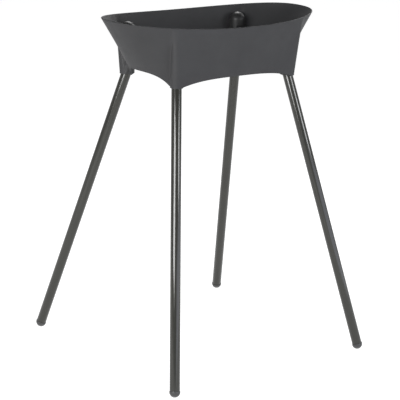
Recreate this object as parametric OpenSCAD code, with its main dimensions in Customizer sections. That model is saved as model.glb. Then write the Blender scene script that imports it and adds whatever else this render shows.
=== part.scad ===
// Baby bath stand: an oval moulded ring on four splayed tube legs.
// The origin is on the floor below the middle of the ring, +X runs along the ring, +Z is up.

/* [Ring] */
// Length of the ring over its lip
ring_length = 604; // [570:2:640]
// Width of the ring over its lip
ring_width = 306; // [290:2:340]
// How square the lip is in plan, where 2 is an ellipse
lip_squareness = 2.3; // [2:0.1:3]
// Height of the lip above the floor, at the middle of a long side
lip_height = 841; // [800:1:880]
// How much higher the lip stands at the two ends
lip_rise = 13.5; // [0:0.5:20]
// Depth of the ring, from the lip to the foot of a column
ring_depth = 141; // [125:1:160]
// Thickness of the moulded wall
wall = 3.4; // [3:0.1:4]
// How far an end of the base stands out past the columns
end_bulge = 4.5; // [3:0.5:8]
// Radius of the curved end of the base, in plan
end_radius = 190; // [170:5:230]
// Radius of the hollow between an end and a column
hollow_radius = 8; // [4:1:12]
// Height of the arch under each end
end_arch = 28; // [10:1:36]
// Height of the arch under each long side
side_arch = 16; // [5:1:30]

/* [Legs] */
// Distance between the feet, along the ring
foot_span_x = 600; // [560:5:640]
// Distance between the feet, across the ring
foot_span_y = 588; // [550:2:630]
// How far a leg leans in along the ring, over its whole height
lean_x = 150; // [140:1:156]
// How far a leg leans in across the ring, over its whole height
lean_y = 232; // [222:1:236]
// Height over which that lean is measured
lean_height = 850; // [840:5:880]
// Outer diameter of a leg tube
tube_d = 25; // [22:0.5:26]
// Wall of a leg tube
tube_wall = 1.5; // [1:0.1:2]

/* [Sleeves] */
// Gap between a tube and its sleeve, on the radius
sleeve_gap = 0.1; // [0.05:0.01:0.1]
// How far a sleeve's dome stays below the lip
sleeve_drop = 46; // [40:1:60]
// Least thickness of a sleeve, at its dome
sleeve_wall = 2.8; // [2.2:0.1:3.2]
// How much thicker a sleeve is at its mouth
sleeve_draft = 0.6; // [0:0.1:0.8]
// Gap between a sleeve's mouth and the hollow post that stands over it, on the radius
post_gap = 2.6; // [1.5:0.1:3.5]
// Thickness of the post
post_wall = 2.2; // [1.8:0.1:3]
// How far the domed top of the post stays below the lip
post_drop = 11; // [6:1:20]

/* [Foot caps] */
// How far a cap stands out past its tube, on the radius
cap_lip = 0.7; // [0.5:0.1:1.5]
// Height of the band between the dome and the tube
cap_band = 2; // [1:0.5:4]
// Diameter of the flat that a dome stands on
cap_flat_d = 10; // [6:1:14]
// Length of the plug inside the tube
plug_length = 24; // [16:1:30]
// Number of barbs on the plug
barbs = 3; // [2:1:4]

/* [Snap buttons] */
// Height of a button above the foot of the ring
button_rise = 52; // [45:1:60]
// Diameter of a button
button_d = 7.8; // [6:0.1:9]
// Gap round a button in the tube, on the radius
button_gap = 0.3; // [0.3:0.05:0.5]
// How far a button stands out of its sleeve
button_proud = 1.6; // [0.8:0.1:2.5]
// Thickness of the spring strip
strip = 0.8; // [0.5:0.1:1]
// Width of the spring strip
strip_width = 7; // [5:0.5:8]
// Length of the spring strip, from its free ends to its bend
strip_length = 62; // [50:1:75]
// Radius of that bend, over its outside
bend_r = 6; // [4:0.5:7]

/* [Hidden] */
CORNERS = [["front_left", -1, -1], ["front_right", 1, -1], ["back_left", -1, 1], ["back_right", 1, 1]];
PIECES = ["leg", "foot_cap", "snap_button", "button_spring"];

RING_COLOUR = [0.20, 0.20, 0.21];
TUBE_COLOUR = [0.18, 0.18, 0.17];
CAP_COLOUR = [0.30, 0.30, 0.30];
STEEL_COLOUR = [0.75, 0.75, 0.77];

// Legs, each in its own frame: z runs up the tube from the floor, x points to the inside of the stand
tube_r = tube_d/2;
tube_bore_r = tube_r - tube_wall;
lean = norm([lean_x, lean_y]);
tilt = atan2(lean, lean_height);
function along(height) = height/cos(tilt);
function leg_axis(height) = [
    foot_span_x/2 - lean_x*height/lean_height,
    foot_span_y/2 - lean_y*height/lean_height
];

// Ring
base_z = lip_height - ring_depth;
column_at = leg_axis(base_z);
bore_r = tube_r + sleeve_gap;
column_r = bore_r + wall;
end_at = [column_at[0] + column_r + end_bulge - end_radius, 0];
lip_r = wall/2;

// The hollow is tangent to the end's arc and to the column
hollow_reach = end_radius + hollow_radius;
column_reach = column_r + hollow_radius;
column_away = column_at - end_at;
end_sweep = atan2(column_away[1], column_away[0])
    - acos((pow(norm(column_away), 2) + pow(hollow_reach, 2) - pow(column_reach, 2))
        /(2*norm(column_away)*hollow_reach));
hollow_at = end_at + hollow_reach*[cos(end_sweep), sin(end_sweep)];
to_hollow = atan2(hollow_at[1] - column_at[1], hollow_at[0] - column_at[0]);

// Steps round a quarter of the ring, and the share of the lip that each stretch leads to
END_STEPS = 10;
HOLLOW_STEPS = 4;
COLUMN_STEPS = 12;
SIDE_STEPS = 8;
QUARTER = END_STEPS + HOLLOW_STEPS + COLUMN_STEPS + SIDE_STEPS;
LEVELS = 6;
LIP_STEPS = 4;
LIP_AT_HOLLOW = 48;
LIP_AT_COLUMN = 49.5;
LIP_AT_SIDE = 53.5;

function mix(a, b, t) = a + (b - a)*t;
function on_circle(centre, r, angle) = centre + r*[cos(angle), sin(angle)];

// Stretch of the outline that step i is in, and how far along it
function stretch(i) =
    i < END_STEPS ? ["end", i/END_STEPS] :
    i < END_STEPS + HOLLOW_STEPS ? ["hollow", (i - END_STEPS)/HOLLOW_STEPS] :
    i < QUARTER - SIDE_STEPS ? ["column", (i - END_STEPS - HOLLOW_STEPS)/COLUMN_STEPS] :
    ["side", (i - QUARTER + SIDE_STEPS)/SIDE_STEPS];

// Plan of the base, moved in by the depth under its outer face
function base_point(i, depth) = let (s = stretch(i), t = s[1])
    s[0] == "end" ? on_circle(end_at, end_radius - depth, end_sweep*t) :
    s[0] == "hollow" ? on_circle(hollow_at, hollow_radius + depth, mix(end_sweep + 180, to_hollow + 180, t)) :
    s[0] == "column" ? on_circle(column_at, column_r - depth, mix(to_hollow, 90, t)) :
    [column_at[0]*(1 - t), column_at[1] + column_r - depth];

// Plan of the lip, an oval squared a little
function lip_angle(i) = let (s = stretch(i), t = s[1])
    s[0] == "end" ? mix(0, LIP_AT_HOLLOW, t) :
    s[0] == "hollow" ? mix(LIP_AT_HOLLOW, LIP_AT_COLUMN, t) :
    s[0] == "column" ? mix(LIP_AT_COLUMN, LIP_AT_SIDE, t) :
    mix(LIP_AT_SIDE, 90, t);
function lip_point(i, depth) = let (a = lip_angle(i)) [
    (ring_length/2 - depth)*pow(cos(a), 2/lip_squareness),
    (ring_width/2 - depth)*pow(sin(a), 2/lip_squareness)
];
function lip_z(i) = lip_height + lip_rise*pow(lip_point(i, 0)[0]/(ring_length/2), 2);

// Height that the lower edge rises over its columns
function arch(i) = let (s = stretch(i), t = s[1])
    s[0] == "end" ? end_arch*(1 - t*t*t) :
    s[0] == "side" ? side_arch*(1 - pow(1 - t, 3)) :
    0;

// A point of the wall at a level from 0 at its lower edge to 1 under the lip
function wall_point(i, level, depth) =
    let (top = lip_z(i) - lip_r,
         t = mix(arch(i)/(top - base_z), 1, level),
         plan = mix(base_point(i, depth), lip_point(i, depth), t))
    [plan[0], plan[1], mix(base_z, top, t)];
function lip_round(i, turn) =
    let (plan = lip_point(i, lip_r*(1 - cos(turn))))
    [plan[0], plan[1], lip_z(i) - lip_r + lip_r*sin(turn)];

// The wall's section at step i: up the outside, over the lip and down the inside
function wall_section(i) = concat(
    [for (k = [0:LEVELS]) wall_point(i, k/LEVELS, 0)],
    [for (k = [1:LIP_STEPS - 1]) lip_round(i, 180*k/LIP_STEPS)],
    [for (k = [0:LEVELS]) wall_point(i, 1 - k/LEVELS, wall)]
);

// Signs and step of each of the four quarters in turn
function sign_x(q) = (q == 1 || q == 2) ? -1 : 1;
function sign_y(q) = q > 1 ? -1 : 1;
function quarter_step(q, k) = q%2 == 0 ? k : QUARTER - k;
function mirrored(p, q) = [p[0]*sign_x(q), p[1]*sign_y(q), p[2]];

// The open wall, closed on itself round the ring
module wall_loft() {
    rows = 4*QUARTER;
    cols = len(wall_section(0));
    points = [for (q = [0:3]) for (k = [0:QUARTER - 1]) for (p = wall_section(quarter_step(q, k))) mirrored(p, q)];
    faces = [
        for (r = [0:rows - 1]) for (c = [0:cols - 1])
            let (a = r*cols + c,
                 b = r*cols + (c + 1)%cols,
                 d = ((r + 1)%rows)*cols + c,
                 e = ((r + 1)%rows)*cols + (c + 1)%cols,
                 odd = floor(r/QUARTER)%2 == 1)
            each odd ? [[a, b, d], [b, e, d]] : [[a, b, e], [a, e, d]]
    ];
    polyhedron(points = points, faces = faces, convexity = 8);
}

// All that the wall holds, out to the middle of its thickness
module wall_core() {
    rows = 4*QUARTER;
    rings = [for (level = [0, 1]) for (q = [0:3]) for (k = [0:QUARTER - 1])
        mirrored(wall_point(quarter_step(q, k), level, wall/2), q)];
    floor_at = 2*rows;
    faces = [
        for (r = [0:rows - 1])
            let (n = (r + 1)%rows)
            each [[r, r + rows, n + rows], [r, n + rows, n], [n, floor_at, r], [r + rows, floor_at + 1, n + rows]]
    ];
    polyhedron(points = concat(rings, [[0, 0, base_z], [0, 0, lip_height]]), faces = faces, convexity = 6);
}

module in_leg(corner) {
    translate([corner[1]*foot_span_x/2, corner[2]*foot_span_y/2, 0])
        rotate([0, 0, atan2(-corner[2]*lean_y, -corner[1]*lean_x)])
            rotate([0, tilt, 0])
                children();
}

// Sleeves
dome_r = bore_r + sleeve_wall;
dome_at = along(lip_height - sleeve_drop - dome_r);
sleeve_mouth = along(base_z) - 2*tube_r;
sleeve_end = dome_at + sleeve_wall;
mouth_r = dome_r + sleeve_draft;
button_at = along(base_z + button_rise);

module sleeve_body() {
    translate([0, 0, sleeve_mouth])
        cylinder(r1 = mouth_r, r2 = dome_r, h = dome_at - sleeve_mouth, $fn = 96);
    translate([0, 0, dome_at])
        sphere(r = dome_r, $fn = 96);
}

module sleeve_bore() {
    translate([0, 0, sleeve_mouth - 1])
        cylinder(r = bore_r, h = sleeve_end - sleeve_mouth + 1, $fn = 96);
    translate([0, 0, button_at])
        rotate([0, 90, 0])
            cylinder(r = button_d/2 + button_gap, h = 2*dome_r, $fn = 48);
}

// The post stands upright over the column, open below and domed above, and backs the leaning sleeve
post_r = mouth_r + post_gap + post_wall;
post_rise = lip_height - post_drop - post_r - base_z;

module round_post(r, foot) {
    translate([0, 0, -foot])
        cylinder(r = r, h = post_rise + foot, $fn = 96);
    translate([0, 0, post_rise])
        sphere(r = r, $fn = 96);
}

module post(corner) {
    translate([corner[1]*column_at[0], corner[2]*column_at[1], base_z])
        difference() {
            round_post(post_r, 0);
            round_post(post_r - post_wall, 1);
        }
}

module top_ring() {
    color(RING_COLOUR)
    difference() {
        union() {
            wall_loft();
            for (corner = CORNERS)
                in_leg(corner)
                    sleeve_body();
            intersection() {
                wall_core();
                union()
                    for (corner = CORNERS)
                        post(corner);
            }
        }
        for (corner = CORNERS)
            in_leg(corner)
                sleeve_bore();
        translate([-ring_length/2, -ring_width/2, base_z - ring_depth])
            cube([ring_length, ring_width, ring_depth]);
    }
}

// Foot caps
cap_r = tube_r + cap_lip;
cap_centre = along(sqrt(cap_r*cap_r - cap_flat_d*cap_flat_d/4));
cap_top = cap_centre + cap_band;
PLUG_PLAY = 0.6;
BARB_PLAY = 0.05;
plug_r = tube_bore_r - PLUG_PLAY;
barb_r = tube_bore_r - BARB_PLAY;
barb_pitch = plug_length/(barbs + 1);

module foot_cap(corner) {
    color(CAP_COLOUR)
    difference() {
        in_leg(corner) {
            intersection() {
                translate([0, 0, cap_centre])
                    sphere(r = cap_r, $fn = 96);
                translate([0, 0, cap_centre - cap_r])
                    cylinder(r = cap_r, h = cap_r + cap_band/2, $fn = 96);
            }
            translate([0, 0, cap_centre])
                cylinder(r = cap_r, h = cap_band, $fn = 96);
            translate([0, 0, cap_centre])
                cylinder(r = plug_r, h = cap_band + plug_length, $fn = 72);
            for (k = [1:barbs])
                translate([0, 0, cap_top + (k - 0.5)*barb_pitch])
                    cylinder(r1 = barb_r, r2 = plug_r, h = barb_pitch/2, $fn = 72);
        }
        translate([corner[1]*foot_span_x/2, corner[2]*foot_span_y/2, -cap_r])
            cube([4*cap_r, 4*cap_r, 2*cap_r], center = true);
    }
}

// Legs
TOP_PLAY = 0.3;
leg_top = sleeve_end - TOP_PLAY;
button_hole_r = button_d/2 + button_gap;

module leg(corner) {
    color(TUBE_COLOUR)
    in_leg(corner)
    difference() {
        translate([0, 0, cap_top])
            cylinder(r = tube_r, h = leg_top - cap_top, $fn = 96);
        translate([0, 0, cap_top - 1])
            cylinder(r = tube_bore_r, h = leg_top - cap_top + 2, $fn = 96);
        translate([0, 0, button_at])
            rotate([0, 90, 0])
                cylinder(r = button_hole_r, h = 2*tube_r, $fn = 48);
    }
}

// Snap buttons and their springs
ARM_PLAY = 0.2;
FREE_END = 8;
arm_x = sqrt(pow(tube_bore_r, 2) - pow(strip_width/2, 2)) - ARM_PLAY;
button_tip = mix(mouth_r, dome_r, (button_at - sleeve_mouth)/(dome_at - sleeve_mouth)) + button_proud;
neck_r = button_d/5;
rivet_r = button_d/3;

module snap_button(corner) {
    color(STEEL_COLOUR)
    in_leg(corner)
    translate([0, 0, button_at])
        rotate([0, 90, 0]) {
            translate([0, 0, arm_x])
                cylinder(r = button_d/2, h = button_tip - button_d/2 - arm_x, $fn = 48);
            intersection() {
                translate([0, 0, button_tip - button_d/2])
                    sphere(r = button_d/2, $fn = 48);
                translate([0, 0, arm_x])
                    cylinder(r = button_d/2, h = button_tip - arm_x, $fn = 48);
            }
            translate([0, 0, arm_x - 2*strip])
                cylinder(r = neck_r, h = 3*strip, $fn = 32);
            translate([0, 0, arm_x - 2*strip])
                cylinder(r = rivet_r, h = strip, $fn = 32);
        }
}

// The strip's arms run straight behind the button, then lean in to meet the round bend
knee = button_at - FREE_END;
bend_at = button_at + FREE_END - strip_length + bend_r;
knee_away = knee - bend_at;
arm_lean = atan2(arm_x, knee_away) - asin(bend_r/norm([arm_x, knee_away]));

function bend_arc(r, steps) = [for (k = [0:steps])
    let (a = mix(-arm_lean, arm_lean - 180, k/steps))
    [r*cos(a), bend_at + r*sin(a)]];
function reversed(points) = [for (k = [len(points) - 1:-1:0]) points[k]];

module button_spring(corner) {
    free_end = button_at + FREE_END;
    inner_x = arm_x - strip;
    inner_knee = knee + strip*tan(arm_lean/2);
    color(STEEL_COLOUR)
    in_leg(corner)
    difference() {
        rotate([90, 0, 0])
            linear_extrude(height = strip_width, center = true)
                polygon(concat(
                    [[arm_x, free_end], [arm_x, knee]],
                    bend_arc(bend_r, 24),
                    [[-arm_x, knee], [-arm_x, free_end], [-inner_x, free_end], [-inner_x, inner_knee]],
                    reversed(bend_arc(bend_r - strip, 24)),
                    [[inner_x, inner_knee], [inner_x, free_end]]
                ));
        translate([0, 0, button_at])
            rotate([0, 90, 0])
                cylinder(r = neck_r + 0.05, h = 2*arm_x, $fn = 32);
    }
}

top_ring();
for (corner = CORNERS) {
    leg(corner);
    foot_cap(corner);
    snap_button(corner);
    button_spring(corner);
}
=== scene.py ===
"""A baby bath stand: a moulded oval ring on four splayed tube legs."""

import math

import bmesh
import bpy
from mathutils import Matrix, Vector


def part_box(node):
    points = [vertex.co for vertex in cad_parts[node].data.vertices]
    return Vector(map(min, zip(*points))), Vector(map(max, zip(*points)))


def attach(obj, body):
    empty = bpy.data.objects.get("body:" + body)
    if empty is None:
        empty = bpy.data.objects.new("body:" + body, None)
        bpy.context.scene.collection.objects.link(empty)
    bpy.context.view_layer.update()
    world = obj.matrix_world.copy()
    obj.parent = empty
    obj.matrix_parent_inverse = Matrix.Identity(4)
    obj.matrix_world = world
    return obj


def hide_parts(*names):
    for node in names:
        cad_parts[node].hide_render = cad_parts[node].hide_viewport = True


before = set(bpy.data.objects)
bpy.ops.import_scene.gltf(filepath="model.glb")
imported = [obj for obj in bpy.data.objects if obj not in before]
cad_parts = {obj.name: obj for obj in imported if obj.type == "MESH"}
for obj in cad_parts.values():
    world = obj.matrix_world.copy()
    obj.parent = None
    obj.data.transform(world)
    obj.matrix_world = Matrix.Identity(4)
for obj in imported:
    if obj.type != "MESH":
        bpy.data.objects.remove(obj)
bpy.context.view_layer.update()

# ---------------------------------------------------------------------------------------------
# Ring wall. One injection moulding in dark grey plastic: a squared oval lip that stands higher at
# its two ends, drawn down over straight rulings to a rounded base that hugs the four tubes.
# ---------------------------------------------------------------------------------------------
MM = 0.001
CORNERS = {
    "front_left": (-1, -1),
    "front_right": (1, -1),
    "back_left": (-1, 1),
    "back_right": (1, 1),
}
ring_low, ring_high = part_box("top_ring")
LIP_HALF = Vector((ring_high.x - ring_low.x, ring_high.y - ring_low.y)) / 2
BASE_Z = ring_low.z
LIP_RISE = 13.5 * MM
LIP_Z = ring_high.z - LIP_RISE
LIP_SQUARENESS = 2.3
WALL = 3.4 * MM
END_BULGE = 4.5 * MM
END_RADIUS = 190 * MM
HOLLOW_RADIUS = 8 * MM
END_ARCH = 28 * MM
SIDE_ARCH = 16 * MM
ARCH_POWER = 3

# The tubes lean in from the feet, and the ring's columns stand where the tubes cross its base
FOOT = Vector((300, 294)) * MM
LEAN = Vector((150, 232)) * MM
LEAN_HEIGHT = 850 * MM
TILT = math.atan2(LEAN.length, LEAN_HEIGHT)
TUBE_R = 12.5 * MM
SLEEVE_GAP = 0.1 * MM
BORE_R = TUBE_R + SLEEVE_GAP
COLUMN_R = BORE_R + WALL


def leg_axis(height):
    return FOOT - LEAN * (height / LEAN_HEIGHT)


def on_circle(centre, radius, angle):
    return centre + radius * Vector((math.cos(angle), math.sin(angle)))


# A hollow joins the round of each end to a column. It touches both, which gives its place
column_at = leg_axis(BASE_Z)
end_at = Vector((column_at.x + COLUMN_R + END_BULGE - END_RADIUS, 0))
to_column = column_at - end_at
hollow_reach = END_RADIUS + HOLLOW_RADIUS
column_reach = COLUMN_R + HOLLOW_RADIUS
squares = to_column.length_squared + hollow_reach**2 - column_reach**2
off_column = math.acos(squares / (2 * to_column.length * hollow_reach))
end_sweep = math.atan2(to_column.y, to_column.x) - off_column
hollow_at = on_circle(end_at, hollow_reach, end_sweep)
to_hollow = math.atan2(hollow_at.y - column_at.y, hollow_at.x - column_at.x)

# The stretches of a quarter of the outline: steps, and the lip's angles in degrees, from and to
STRETCHES = [
    ("end", 40, 0, 48),
    ("hollow", 10, 48, 49.5),
    ("column", 40, 49.5, 53.5),
    ("side", 36, 53.5, 90),
]


def mix(a, b, t):
    return a + (b - a) * t


def base_plan(stretch, t, depth):
    if stretch == "end":
        return on_circle(end_at, END_RADIUS - depth, end_sweep * t)
    if stretch == "hollow":
        return on_circle(hollow_at, HOLLOW_RADIUS + depth, mix(end_sweep, to_hollow, t) + math.pi)
    if stretch == "column":
        return on_circle(column_at, COLUMN_R - depth, mix(to_hollow, math.pi / 2, t))
    return Vector((column_at.x * (1 - t), column_at.y + COLUMN_R - depth))


def lip_plan(angle, depth):
    power = 2 / LIP_SQUARENESS
    cosine = max(math.cos(math.radians(angle)), 0)
    sine = max(math.sin(math.radians(angle)), 0)
    return Vector(((LIP_HALF.x - depth) * cosine**power, (LIP_HALF.y - depth) * sine**power))


def lip_z(angle):
    return LIP_Z + LIP_RISE * (lip_plan(angle, 0).x / LIP_HALF.x) ** 2


def arch(stretch, t):
    if stretch == "end":
        return END_ARCH * (1 - t**ARCH_POWER)
    if stretch == "side":
        return SIDE_ARCH * (1 - (1 - t) ** ARCH_POWER)
    return 0


def wall_point(stretch, t, angle, level, depth):
    """A point of the wall, at a level from 0 at the lower edge to 1 where the lip's round starts."""
    top = lip_z(angle) - WALL / 2
    share = mix(arch(stretch, t) / (top - BASE_Z), 1, level)
    plan = base_plan(stretch, t, depth).lerp(lip_plan(angle, depth), share)
    return Vector((plan.x, plan.y, mix(BASE_Z, top, share)))


def wall_face(level, depth):
    """The wall at one level and one depth under its outer face."""
    return lambda stretch, t, angle: wall_point(stretch, t, angle, level, depth)


def lip_round(turn):
    """The round of the lip, from the outside, turn 0, over its top to the inside, turn pi."""

    def point(stretch, t, angle):
        plan = lip_plan(angle, WALL / 2 * (1 - math.cos(turn)))
        return Vector((plan.x, plan.y, lip_z(angle) - WALL / 2 + WALL / 2 * math.sin(turn)))

    return point


EDGE_ROUND = 0.8 * MM
EDGE_STEPS = 3
LIP_STEPS = 8
WALL_LEVELS = 8
FIRST_LEVEL = 0.03
JUST_PAST = 1e-6


def lower_edge(turn):
    """The round of the wall's lower edge, from the inside, turn 0, to the outside, turn pi."""

    def point(stretch, t, angle):
        flat = WALL / 2 - EDGE_ROUND
        side = 1 if turn > math.pi / 2 else -1
        depth = WALL / 2 - side * (flat + EDGE_ROUND * abs(math.cos(turn)))
        place = wall_point(stretch, t, angle, 0, depth)
        place.z += EDGE_ROUND * (1 - math.sin(turn))
        return place

    return point


def edge_loop(bm, point):
    """Draws a closed loop round the ring through point(stretch, t, angle), in all four quarters."""
    quarter = []
    for stretch, steps, angle_from, angle_to in STRETCHES:
        for k in range(steps):
            quarter.append(point(stretch, k / steps, mix(angle_from, angle_to, k / steps)))
    middle = point("side", 1, 90)
    flip_x = Vector((-1, 1, 1))
    flip_y = Vector((1, -1, 1))
    half = quarter + [middle] + [p * flip_x for p in reversed(quarter)]
    whole = half + [p * flip_y for p in reversed(half[1:-1])]
    verts = [bm.verts.new(p) for p in whole]
    return [bm.edges.new((a, b)) for a, b in zip(verts, verts[1:] + verts[:1])]


def loft(bm, loops, closed):
    """Bridges each loop to the next one, and in a closed loft the last to the first."""
    following = loops[1:] + loops[:1] if closed else loops[1:]
    for lower, upper in zip(loops, following):
        bmesh.ops.bridge_loops(bm, edges=lower + upper)


def new_piece(name, bm):
    mesh = bpy.data.meshes.new(name)
    bm.to_mesh(mesh)
    bm.free()
    piece = bpy.data.objects.new(name, mesh)
    bpy.context.scene.collection.objects.link(piece)
    return piece


# The loops go round the lower edge, up the outer face, over the lip and down the inner face. The
# turn at the lower edge's middle comes twice, once for each side of the flat between its rounds
bm = bmesh.new()
turns = [k / (2 * EDGE_STEPS) * math.pi for k in range(2 * EDGE_STEPS + 1)]
turns.insert(EDGE_STEPS + 1, math.pi / 2 + JUST_PAST)
levels = [FIRST_LEVEL + (1 - FIRST_LEVEL) * k / WALL_LEVELS for k in range(WALL_LEVELS + 1)]
loops = [edge_loop(bm, lower_edge(turn)) for turn in turns]
loops += [edge_loop(bm, wall_face(level, 0)) for level in levels]
loops += [edge_loop(bm, lip_round(math.pi * k / LIP_STEPS)) for k in range(1, LIP_STEPS)]
loops += [edge_loop(bm, wall_face(level, WALL)) for level in reversed(levels)]
loft(bm, loops, closed=True)
bmesh.ops.recalc_face_normals(bm, faces=bm.faces)
ring = new_piece("moulded_ring", bm)

# ---------------------------------------------------------------------------------------------
# Leg sockets of the ring. In each corner a closed, dome-topped sleeve takes the upper end of a
# tube, and leans out of an upright hollow post that backs it. All of it is one with the ring.
# ---------------------------------------------------------------------------------------------
SLEEVE_DROP = 46 * MM
SLEEVE_WALL = 2.8 * MM
SLEEVE_DRAFT = 0.6 * MM
SLEEVE_SPARE = 2 * TUBE_R
POST_GAP = 2.6 * MM
POST_WALL = 2.2 * MM
POST_DROP = 11 * MM
DOME_R = BORE_R + SLEEVE_WALL
DOME_AT = (LIP_Z - SLEEVE_DROP - DOME_R) / math.cos(TILT)
SLEEVE_MOUTH = BASE_Z / math.cos(TILT) - SLEEVE_SPARE
SLEEVE_END = DOME_AT + SLEEVE_WALL
MOUTH_R = DOME_R + SLEEVE_DRAFT
POST_R = MOUTH_R + POST_GAP + POST_WALL
BUTTON_RISE = 52 * MM
BUTTON_AT = (BASE_Z + BUTTON_RISE) / math.cos(TILT)
BUTTON_R = 3.9 * MM
BUTTON_PLAY = 0.3 * MM
HOLE_R = BUTTON_R + BUTTON_PLAY
HOLE_REACH = 2 * DOME_R
FOOT_CUT = 0.02 * MM
MERGE = 1e-6
TUBE_ROUND = 96
BUTTON_ROUND = 48
SLEEVE_DOME_STEPS = 20
POST_DOME_STEPS = 24
CORE_LEVELS = 4
# A dome's arc, in degrees, stops short of the axis, where a point of its own closes it
NEAR_POLE = 89.99


def in_leg(corner):
    """The frame of a leg: z runs up its axis from the floor, x points inside the stand."""
    sx, sy = CORNERS[corner]
    place = Matrix.Translation((sx * FOOT.x, sy * FOOT.y, 0))
    heading = Matrix.Rotation(math.atan2(-sy * LEAN.y, -sx * LEAN.x), 4, "Z")
    return place @ heading @ Matrix.Rotation(TILT, 4, "Y")


def in_button(corner):
    """The frame of a leg's button: z runs along it from the leg's axis, into the stand."""
    sideways = Matrix.Rotation(math.pi / 2, 4, "Y")
    return in_leg(corner) @ Matrix.Translation((0, 0, BUTTON_AT)) @ sideways


def turned(bm, profile, matrix, steps=TUBE_ROUND):
    """Spins a profile of (radius, height) points round the z axis of matrix."""
    before = set(bm.verts)
    verts = [bm.verts.new((r, 0, z)) for r, z in profile]
    edges = [bm.edges.new(pair) for pair in zip(verts, verts[1:])]
    bmesh.ops.spin(
        bm,
        geom=verts + edges,
        cent=(0, 0, 0),
        axis=(0, 0, 1),
        angle=2 * math.pi,
        steps=steps,
        use_merge=True,
    )
    made = [v for v in bm.verts if v not in before]
    bmesh.ops.remove_doubles(bm, verts=made, dist=MERGE)
    made = [v for v in bm.verts if v not in before]
    bmesh.ops.recalc_face_normals(bm, faces=list({f for v in made for f in v.link_faces}))
    bmesh.ops.transform(bm, matrix=matrix, verts=made)


def arc(centre_r, centre_z, radius, start, end, steps):
    angles = [math.radians(mix(start, end, k / steps)) for k in range(steps + 1)]
    return [(centre_r + radius * math.cos(a), centre_z + radius * math.sin(a)) for a in angles]


def cut_flat(bm, height):
    """Cuts off what lies below a height, and closes the cut."""
    cut = bmesh.ops.bisect_plane(
        bm,
        geom=bm.verts[:] + bm.edges[:] + bm.faces[:],
        plane_co=(0, 0, height),
        plane_no=(0, 0, 1),
        clear_inner=True,
    )
    rim = [e for e in cut["geom_cut"] if isinstance(e, bmesh.types.BMEdge)]
    bmesh.ops.holes_fill(bm, edges=rim, sides=0)


def carve(piece, tool, operation):
    """Joins a tool to a piece, cuts it away or keeps what they share, for good."""
    cut = piece.modifiers.new("carve", "BOOLEAN")
    cut.operation = operation
    cut.solver = "EXACT"
    cut.object = tool
    graph = bpy.context.evaluated_depsgraph_get()
    graph.update()
    mesh = bpy.data.meshes.new_from_object(piece.evaluated_get(graph))
    piece.modifiers.clear()
    piece.data = mesh
    bpy.data.objects.remove(tool)


sleeve = [(0, SLEEVE_MOUTH), (MOUTH_R, SLEEVE_MOUTH)]
sleeve += arc(0, DOME_AT, DOME_R, 0, NEAR_POLE, SLEEVE_DOME_STEPS)
sleeve += [(0, DOME_AT + DOME_R)]
bm = bmesh.new()
for corner in CORNERS:
    turned(bm, sleeve, in_leg(corner))
sleeves = new_piece("sleeves", bm)

# The post's outline, up over its dome and down again inside
post_rise = LIP_Z - POST_DROP - POST_R - BASE_Z
inner_r = POST_R - POST_WALL
post = [(inner_r, 0), (POST_R, 0)]
post += arc(0, post_rise, POST_R, 0, NEAR_POLE, POST_DOME_STEPS)
post += [(0, post_rise + POST_R), (0, post_rise + inner_r)]
post += arc(0, post_rise, inner_r, NEAR_POLE, 0, POST_DOME_STEPS)
post += [(inner_r, 0)]
bm = bmesh.new()
for sx, sy in CORNERS.values():
    turned(bm, post, Matrix.Translation((sx * column_at.x, sy * column_at.y, BASE_Z)))
posts = new_piece("posts", bm)

# The posts end in the middle of the ring's wall
bm = bmesh.new()
core_levels = [k / CORE_LEVELS for k in range(CORE_LEVELS + 1)]
loops = [edge_loop(bm, wall_face(level, WALL / 2)) for level in core_levels]
loft(bm, loops, closed=False)
for loop in (loops[0], loops[-1]):
    cap = bmesh.ops.contextual_create(bm, geom=loop)["faces"]
    bmesh.ops.poke(bm, faces=cap)
bmesh.ops.recalc_face_normals(bm, faces=bm.faces)
core = new_piece("core", bm)
carve(posts, core, "INTERSECT")
carve(ring, sleeves, "UNION")
carve(ring, posts, "UNION")

# The columns' feet are cut off flat, the tubes' bores come up through them, and each bore has a
# hole for its button
bm = bmesh.new()
bm.from_mesh(ring.data)
bmesh.ops.remove_doubles(bm, verts=bm.verts, dist=MERGE)
cut_flat(bm, BASE_Z + FOOT_CUT)
bm.to_mesh(ring.data)
bm.free()
bore_start = SLEEVE_MOUTH - BORE_R
bore = [(0, bore_start), (BORE_R, bore_start), (BORE_R, SLEEVE_END), (0, SLEEVE_END)]
bm = bmesh.new()
for corner in CORNERS:
    turned(bm, bore, in_leg(corner))
bores = new_piece("bores", bm)
hole = [(0, 0), (HOLE_R, 0), (HOLE_R, HOLE_REACH), (0, HOLE_REACH)]
bm = bmesh.new()
for corner in CORNERS:
    turned(bm, hole, in_button(corner), BUTTON_ROUND)
holes = new_piece("holes", bm)
carve(ring, bores, "DIFFERENCE")
carve(ring, holes, "DIFFERENCE")


def shader(name):
    material = bpy.data.materials.new(name)
    material.use_nodes = True
    nodes = material.node_tree.nodes
    return material, nodes, material.node_tree.links, nodes["Principled BSDF"]


def noise(nodes, links, scale, detail, stretch=(1, 1, 1)):
    where = nodes.new("ShaderNodeTexCoord")
    mapping = nodes.new("ShaderNodeMapping")
    mapping.inputs["Scale"].default_value = stretch
    texture = nodes.new("ShaderNodeTexNoise")
    texture.inputs["Scale"].default_value = scale
    texture.inputs["Detail"].default_value = detail
    links.new(where.outputs["Object"], mapping.inputs["Vector"])
    links.new(mapping.outputs["Vector"], texture.inputs["Vector"])
    return texture.outputs["Fac"]


# Nearly all of a noise pattern lies between these two values
PATTERN_ENDS = (0.3, 0.7)


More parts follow.
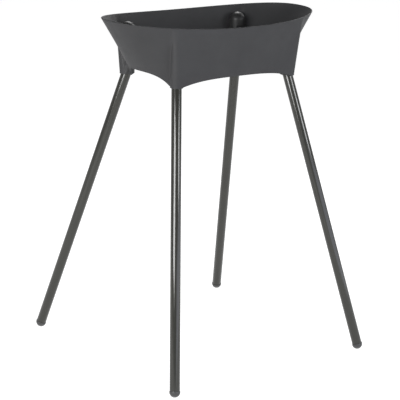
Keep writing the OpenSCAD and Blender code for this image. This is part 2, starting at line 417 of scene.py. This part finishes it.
def spread(nodes, links, source, ends):
    """Turns a pattern into the range between two numbers or colours."""
    ramp = nodes.new("ShaderNodeValToRGB")
    for element, position, value in zip(ramp.color_ramp.elements, PATTERN_ENDS, ends):
        element.position = position
        element.color = (*value, 1) if isinstance(value, tuple) else (value, value, value, 1)
    links.new(source, ramp.inputs["Fac"])
    return ramp.outputs["Color"]


def bump(nodes, links, source, shade, strength, distance):
    relief = nodes.new("ShaderNodeBump")
    relief.inputs["Strength"].default_value = strength
    relief.inputs["Distance"].default_value = distance
    links.new(source, relief.inputs["Height"])
    links.new(relief.outputs["Normal"], shade.inputs["Normal"])


def vector_step(nodes, links, operation, first, second=None):
    """One step of vector sums. The second value is a constant, a socket or missing."""
    step = nodes.new("ShaderNodeVectorMath")
    step.operation = operation
    links.new(first, step.inputs[0])
    if isinstance(second, tuple):
        step.inputs[1].default_value = second
    elif second:
        links.new(second, step.inputs[1])
    return step.outputs["Value" if operation in ("LENGTH", "DOT_PRODUCT") else "Vector"]


def in_range(nodes, links, source, off, on, easing="LINEAR"):
    """A share that goes from 0 to 1 as source goes from off to on."""
    limit = nodes.new("ShaderNodeMapRange")
    limit.interpolation_type = easing
    limit.inputs["From Min"].default_value = off
    limit.inputs["From Max"].default_value = on
    links.new(source, limit.inputs["Value"])
    return limit.outputs["Result"]


def product(nodes, links, first, second):
    step = nodes.new("ShaderNodeMath")
    step.operation = "MULTIPLY"
    links.new(first, step.inputs[0])
    links.new(second, step.inputs[1])
    return step.outputs["Value"]


def blended(nodes, links, share, plain, other, kind="RGBA"):
    """Goes from plain to other as share goes from 0 to 1. Both are colours, numbers or sockets."""
    blend = nodes.new("ShaderNodeMix")
    blend.data_type = kind
    links.new(share, blend.inputs["Factor"])
    for name, value in (("A", plain), ("B", other)):
        if isinstance(value, tuple):
            blend.inputs[name].default_value = (*value, 1)
        elif isinstance(value, float):
            blend.inputs[name].default_value = value
        else:
            links.new(value, blend.inputs[name])
    return blend.outputs["Result"]


def finish(piece, material, crease):
    """Gives a piece its material, and smooth faces apart from edges sharper than crease degrees."""
    for face in piece.data.polygons:
        face.use_smooth = True
    piece.data.set_sharp_from_angle(angle=math.radians(crease))
    piece.data.materials.clear()
    piece.data.materials.append(material)


# Satin moulded plastic, with the fine grain of an etched mould and faint flow marks
RING_TONES = ((0.019, 0.019, 0.020), (0.023, 0.023, 0.024))
RING_ROUGHNESS = (0.62, 0.68)
RING_GLOSS = 0.3
RING_CREASE = 28
material, nodes, links, shade = shader("satin_ring_plastic")
shade.inputs["Specular IOR Level"].default_value = RING_GLOSS
flow_marks = spread(nodes, links, noise(nodes, links, scale=9, detail=3), RING_TONES)
dull_patches = spread(nodes, links, noise(nodes, links, scale=30, detail=2), RING_ROUGHNESS)
mould_grain = noise(nodes, links, scale=1400, detail=2)
bump(nodes, links, mould_grain, shade, strength=0.15, distance=0.0002)

# The posts are drawn off polished core pins, which gives them a lower roughness, and their darker
# tone is painted shade for the shade that falls on them inside the ring. A face is theirs when it
# lies within a post's radius of the post's axis, and doesn't look away from the middle of the ring
# as the wall's outside does
PIN_PAINTED_SHADE = (0.015, 0.015, 0.015)
PIN_ROUGHNESS = 0.45
PIN_NEAR = POST_R + 0.4 * MM
PIN_FAR = POST_R + 1.2 * MM
PIN_FACING = 0.3
WALL_FACING = 0.5
spot = nodes.new("ShaderNodeTexCoord")
face = nodes.new("ShaderNodeNewGeometry")
from_middle = vector_step(nodes, links, "MULTIPLY", spot.outputs["Object"], (1, 1, 0))
in_quarter = vector_step(nodes, links, "ABSOLUTE", from_middle)
from_post = vector_step(nodes, links, "SUBTRACT", in_quarter, (column_at.x, column_at.y, 0))
away = vector_step(nodes, links, "LENGTH", from_post)
heading = vector_step(nodes, links, "NORMALIZE", from_middle)
outward = vector_step(nodes, links, "DOT_PRODUCT", heading, face.outputs["Normal"])
near_post = in_range(nodes, links, away, PIN_FAR, PIN_NEAR)
looks_in = in_range(nodes, links, outward, WALL_FACING, PIN_FACING)
pin_finish_and_shade = product(nodes, links, near_post, looks_in)
# The posts' darker tone mixed in here is painted shade
tone_with_painted_shade = blended(nodes, links, pin_finish_and_shade, flow_marks, PIN_PAINTED_SHADE)
links.new(tone_with_painted_shade, shade.inputs["Base Color"])
roughness = blended(nodes, links, pin_finish_and_shade, dull_patches, PIN_ROUGHNESS, "FLOAT")
links.new(roughness, shade.inputs["Roughness"])

finish(ring, material, RING_CREASE)
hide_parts("top_ring")
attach(ring, "stand")

# ---------------------------------------------------------------------------------------------
# Legs. Straight steel tube, 25 mm across and 1.5 mm thick, in a glossy dark grey powder coat.
# Each has one punched hole near its top, through which its snap button comes out.
# ---------------------------------------------------------------------------------------------
TUBE_WALL = 1.5 * MM
TUBE_BORE_R = TUBE_R - TUBE_WALL
TUBE_END_GAP = 0.3 * MM
TUBE_TOP = SLEEVE_END - TUBE_END_GAP
TUBE_EDGE = 0.3 * MM
TUBE_EDGE_STEPS = 3
TUBE_CREASE = 40
CAP_LIP = 0.7 * MM
CAP_BAND = 2 * MM
CAP_FLAT_R = 5 * MM
CAP_R = TUBE_R + CAP_LIP
CAP_CENTRE = math.sqrt(CAP_R**2 - CAP_FLAT_R**2) / math.cos(TILT)
CAP_TOP = CAP_CENTRE + CAP_BAND

TUBE_TONES = ((0.015, 0.015, 0.012), (0.019, 0.019, 0.015))
TUBE_ROUGHNESS = (0.13, 0.17)
material, nodes, links, shade = shader("gloss_powder_coat")
clouds = spread(nodes, links, noise(nodes, links, scale=14, detail=3), TUBE_TONES)
links.new(clouds, shade.inputs["Base Color"])
sheen = spread(nodes, links, noise(nodes, links, scale=60, detail=2), TUBE_ROUGHNESS)
links.new(sheen, shade.inputs["Roughness"])
orange_peel = noise(nodes, links, scale=900, detail=2)
bump(nodes, links, orange_peel, shade, strength=0.05, distance=0.0001)

# The wall of the tube, with all four of its edges rounded: top outside, top inside, then the foot
tube = []
for edge_r, edge_z, start in (
    (TUBE_R - TUBE_EDGE, TUBE_TOP - TUBE_EDGE, 0),
    (TUBE_BORE_R + TUBE_EDGE, TUBE_TOP - TUBE_EDGE, 90),
    (TUBE_BORE_R + TUBE_EDGE, CAP_TOP + TUBE_EDGE, 180),
    (TUBE_R - TUBE_EDGE, CAP_TOP + TUBE_EDGE, 270),
):
    tube += arc(edge_r, edge_z, TUBE_EDGE, start, start + 90, TUBE_EDGE_STEPS)
for corner in CORNERS:
    bm = bmesh.new()
    turned(bm, tube + [tube[0]], in_leg(corner))
    leg = new_piece("tube_" + corner, bm)
    bm = bmesh.new()
    turned(bm, hole, in_button(corner), BUTTON_ROUND)
    carve(leg, new_piece("punch", bm), "DIFFERENCE")
    finish(leg, material, TUBE_CREASE)
    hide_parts("leg_" + corner)
    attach(leg, "stand")

# ---------------------------------------------------------------------------------------------
# Foot caps. Moulded plastic plugs with a domed end, a little wider than the tube, that stands on
# a small flat. Barbs on the plug hold it in the tube.
# ---------------------------------------------------------------------------------------------
PLUG_LENGTH = 24 * MM
PLUG_PLAY = 0.6 * MM
PLUG_R = TUBE_BORE_R - PLUG_PLAY
BARB_PLAY = 0.05 * MM
BARB_R = TUBE_BORE_R - BARB_PLAY
BARBS = 3
BARB_PITCH = PLUG_LENGTH / (BARBS + 1)
BAND_EDGE = 0.35 * MM
BAND_EDGE_STEPS = 4
CAP_STEPS = 24
CAP_CREASE = 35

# Dark plastic, paler towards the floor under a noise pattern: a painted highlight for the floor's
# light on the domed end
CAP_COLOUR = (0.03, 0.03, 0.03)
CAP_PAINTED_HIGHLIGHT = (0.17, 0.17, 0.165)
CAP_ROUGHNESS = (0.42, 0.52)
HIGHLIGHT_TOP = 9 * MM
material, nodes, links, shade = shader("foot_cap_plastic")
spot = nodes.new("ShaderNodeTexCoord")
apart = nodes.new("ShaderNodeSeparateXYZ")
links.new(spot.outputs["Object"], apart.inputs["Vector"])
low_down = in_range(nodes, links, apart.outputs["Z"], HIGHLIGHT_TOP, 0)
# Painted highlight: paler near the floor, broken up by noise
painted_highlight = product(nodes, links, low_down, noise(nodes, links, scale=260, detail=4))
tint = blended(nodes, links, painted_highlight, CAP_COLOUR, CAP_PAINTED_HIGHLIGHT)
links.new(tint, shade.inputs["Base Color"])
rubbed = spread(nodes, links, noise(nodes, links, scale=80, detail=2), CAP_ROUGHNESS)
links.new(rubbed, shade.inputs["Roughness"])
cap_grain = noise(nodes, links, scale=1500, detail=2)
bump(nodes, links, cap_grain, shade, strength=0.15, distance=0.0002)

dome = [(0, CAP_CENTRE - CAP_R)] + arc(0, CAP_CENTRE, CAP_R, -NEAR_POLE, 0, CAP_STEPS)
band = arc(CAP_R - BAND_EDGE, CAP_TOP - BAND_EDGE, BAND_EDGE, 0, 90, BAND_EDGE_STEPS)
plug = [(PLUG_R, CAP_TOP)]
for k in range(BARBS):
    barb_at = CAP_TOP + (k + 0.5) * BARB_PITCH
    plug += [(PLUG_R, barb_at), (BARB_R, barb_at), (PLUG_R, barb_at + BARB_PITCH / 2)]
plug += [(PLUG_R, CAP_TOP + PLUG_LENGTH), (0, CAP_TOP + PLUG_LENGTH)]
for corner in CORNERS:
    bm = bmesh.new()
    turned(bm, dome + band + plug, in_leg(corner))
    cut_flat(bm, 0)
    cap = new_piece("cap_" + corner, bm)
    finish(cap, material, CAP_CREASE)
    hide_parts("foot_cap_" + corner)
    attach(cap, "stand")

# ---------------------------------------------------------------------------------------------
# Snap buttons. Turned steel buttons, riveted through one arm of a bent strip of spring steel that
# sits inside the tube and pushes the button out through tube and sleeve.
# ---------------------------------------------------------------------------------------------
STEEL = (0.62, 0.62, 0.63)
STEEL_ROUGHNESS = (0.22, 0.38)
BRUSHED = (1, 1, 0.15)
material, nodes, links, shade = shader("bright_steel")
shade.inputs["Metallic"].default_value = 1
shade.inputs["Base Color"].default_value = (*STEEL, 1)
brush_marks = noise(nodes, links, scale=900, detail=2, stretch=BRUSHED)
links.new(spread(nodes, links, brush_marks, STEEL_ROUGHNESS), shade.inputs["Roughness"])

STRIP = 0.8 * MM
STRIP_WIDTH = 7 * MM
ARM_GAP = 0.2 * MM
ARM_X = math.sqrt(TUBE_BORE_R**2 - (STRIP_WIDTH / 2) ** 2) - ARM_GAP
sleeve_r = mix(MOUTH_R, DOME_R, (BUTTON_AT - SLEEVE_MOUTH) / (DOME_AT - SLEEVE_MOUTH))
BUTTON_PROUD = 1.6 * MM
BUTTON_TIP = sleeve_r + BUTTON_PROUD
BUTTON_STEPS = 14
BUTTON_CREASE = 40
NECK_R = 2 * BUTTON_R / 5
RIVET_R = 2 * BUTTON_R / 3
RIVET_IN = ARM_X - 2 * STRIP
button = [
    (0, RIVET_IN),
    (RIVET_R, RIVET_IN),
    (RIVET_R, RIVET_IN + STRIP),
    (NECK_R, RIVET_IN + STRIP),
    (NECK_R, ARM_X),
    (BUTTON_R, ARM_X),
]
button += arc(0, BUTTON_TIP - BUTTON_R, BUTTON_R, 0, NEAR_POLE, BUTTON_STEPS)
button += [(0, BUTTON_TIP)]
for corner in CORNERS:
    bm = bmesh.new()
    turned(bm, button, in_button(corner), BUTTON_ROUND)
    piece = new_piece("button_" + corner, bm)
    finish(piece, material, BUTTON_CREASE)
    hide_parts("snap_button_" + corner)
    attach(piece, "button_" + corner)
    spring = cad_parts["button_spring_" + corner]
    spring.data.materials.clear()
    spring.data.materials.append(material)

# ---------------------------------------------------------------------------------------------
# Studio: a plain pale floor that glows a little, soft boxes all round and a pale surround, seen as
# the photograph sees it.
# ---------------------------------------------------------------------------------------------
FLOOR_HALF = 12
FLOOR_GREY = (0.35, 0.35, 0.35)
FLOOR_ROUGHNESS = 0.9
GLOW_COLOUR = (1.0, 1.0, 1.0)
GLOW_STRENGTH = 0.9
material, nodes, links, shade = shader("pale_floor")
shade.inputs["Base Color"].default_value = (*FLOOR_GREY, 1)
shade.inputs["Roughness"].default_value = FLOOR_ROUGHNESS
shade.inputs["Emission Color"].default_value = (*GLOW_COLOUR, 1)
shade.inputs["Emission Strength"].default_value = GLOW_STRENGTH
bm = bmesh.new()
bmesh.ops.create_grid(bm, x_segments=1, y_segments=1, size=FLOOR_HALF)
floor = new_piece("floor", bm)
floor.data.materials.append(material)

# The far half of the room is pale, the half behind the camera greyer, and the ceiling dark
NEAR_SIDE = (0.38, 0.39, 0.43)
FAR_SIDE = (0.65, 0.65, 0.65)
OVERHEAD = (0.05, 0.05, 0.05)
FAR_WAY = (0.63, 0.777, 0.0)
SIDES_MEET = (-0.1, 0.5)
CEILING_STARTS = (0.35, 0.85)
world = bpy.data.worlds.new("surround")
world.use_nodes = True
nodes, links = world.node_tree.nodes, world.node_tree.links
ray = nodes.new("ShaderNodeTexCoord").outputs["Generated"]
height = nodes.new("ShaderNodeSeparateXYZ")
links.new(ray, height.inputs["Vector"])
facing = vector_step(nodes, links, "DOT_PRODUCT", ray, FAR_WAY)
far_share = in_range(nodes, links, facing, *SIDES_MEET, "SMOOTHSTEP")
high_share = in_range(nodes, links, height.outputs["Z"], *CEILING_STARTS, "SMOOTHSTEP")
walls = blended(nodes, links, far_share, NEAR_SIDE, FAR_SIDE)
room = blended(nodes, links, high_share, walls, OVERHEAD)
links.new(room, nodes["Background"].inputs["Color"])
bpy.context.scene.world = world
bpy.context.scene.view_settings.view_transform = "Standard"


def soft_box(name, place, aim, width, height, power, colour=(1, 1, 1)):
    """A rectangular soft light that faces the point aim."""
    lamp = bpy.data.lights.new(name, "AREA")
    lamp.shape = "RECTANGLE"
    lamp.size = width
    lamp.size_y = height
    lamp.energy = power
    lamp.color = colour
    box = bpy.data.objects.new(name, lamp)
    aimed = (Vector(aim) - Vector(place)).to_track_quat("-Z", "Y").to_matrix().to_4x4()
    box.matrix_world = Matrix.Translation(place) @ aimed
    bpy.context.scene.collection.objects.link(box)


# The left box draws the long streaks on the tubes and lights the corner column, the right box draws
# the short ones, the low fill gives the front its cool tone, and the other two light the inside
COOL = (0.96, 0.98, 1.0)
BLUISH = (0.84, 0.87, 1.0)
soft_box("left_box", (-2.2, -0.8, 1.18), (0, 0, 0.9), 1.3, 1.2, power=72)
soft_box("right_box", (0.75, -1.95, 1.25), (0, 0, 1.0), 0.8, 0.6, power=18, colour=COOL)
soft_box("low_fill", (1.0, -2.6, 0.5), (0, 0, 0.75), 4.0, 1.0, power=26, colour=BLUISH)
soft_box("high_box", (2.2, 0.3, 1.5), (0, 0, 0.85), 0.8, 0.8, power=23)
soft_box("back_box", (1.3, 1.5, 2.4), (0, 0, 0.8), 0.9, 0.9, power=30)

# The camera, as fitted to the photograph's feet, tubes and lip
CAMERA_AZIMUTH = math.radians(-128.955)
DISTANCE = 3.912
HEIGHT = 1.4512
PITCH = math.radians(15.425)
ROLL = math.radians(2.153)
YAW = math.radians(0.101)
FOCAL_PIXELS = 1586.2
FRAME_PIXELS = 400
SENSOR = 36
bearing = CAMERA_AZIMUTH + math.pi / 2 + YAW
forward = Vector(
    (-math.sin(bearing) * math.cos(PITCH), math.cos(bearing) * math.cos(PITCH), -math.sin(PITCH))
)
right = forward.cross(Vector((0, 0, 1))).normalized()
up = right.cross(forward)
rolled_right = right * math.cos(ROLL) + up * math.sin(ROLL)
rolled_up = up * math.cos(ROLL) - right * math.sin(ROLL)
lens = bpy.data.cameras.new("camera")
lens.sensor_width = SENSOR
lens.lens = FOCAL_PIXELS / FRAME_PIXELS * SENSOR
camera = bpy.data.objects.new("camera", lens)
turn = Matrix((rolled_right, rolled_up, -forward)).transposed().to_4x4()
place = Vector((math.cos(CAMERA_AZIMUTH) * DISTANCE, math.sin(CAMERA_AZIMUTH) * DISTANCE, HEIGHT))
camera.matrix_world = Matrix.Translation(place) @ turn
bpy.context.scene.collection.objects.link(camera)
bpy.context.scene.camera = camera
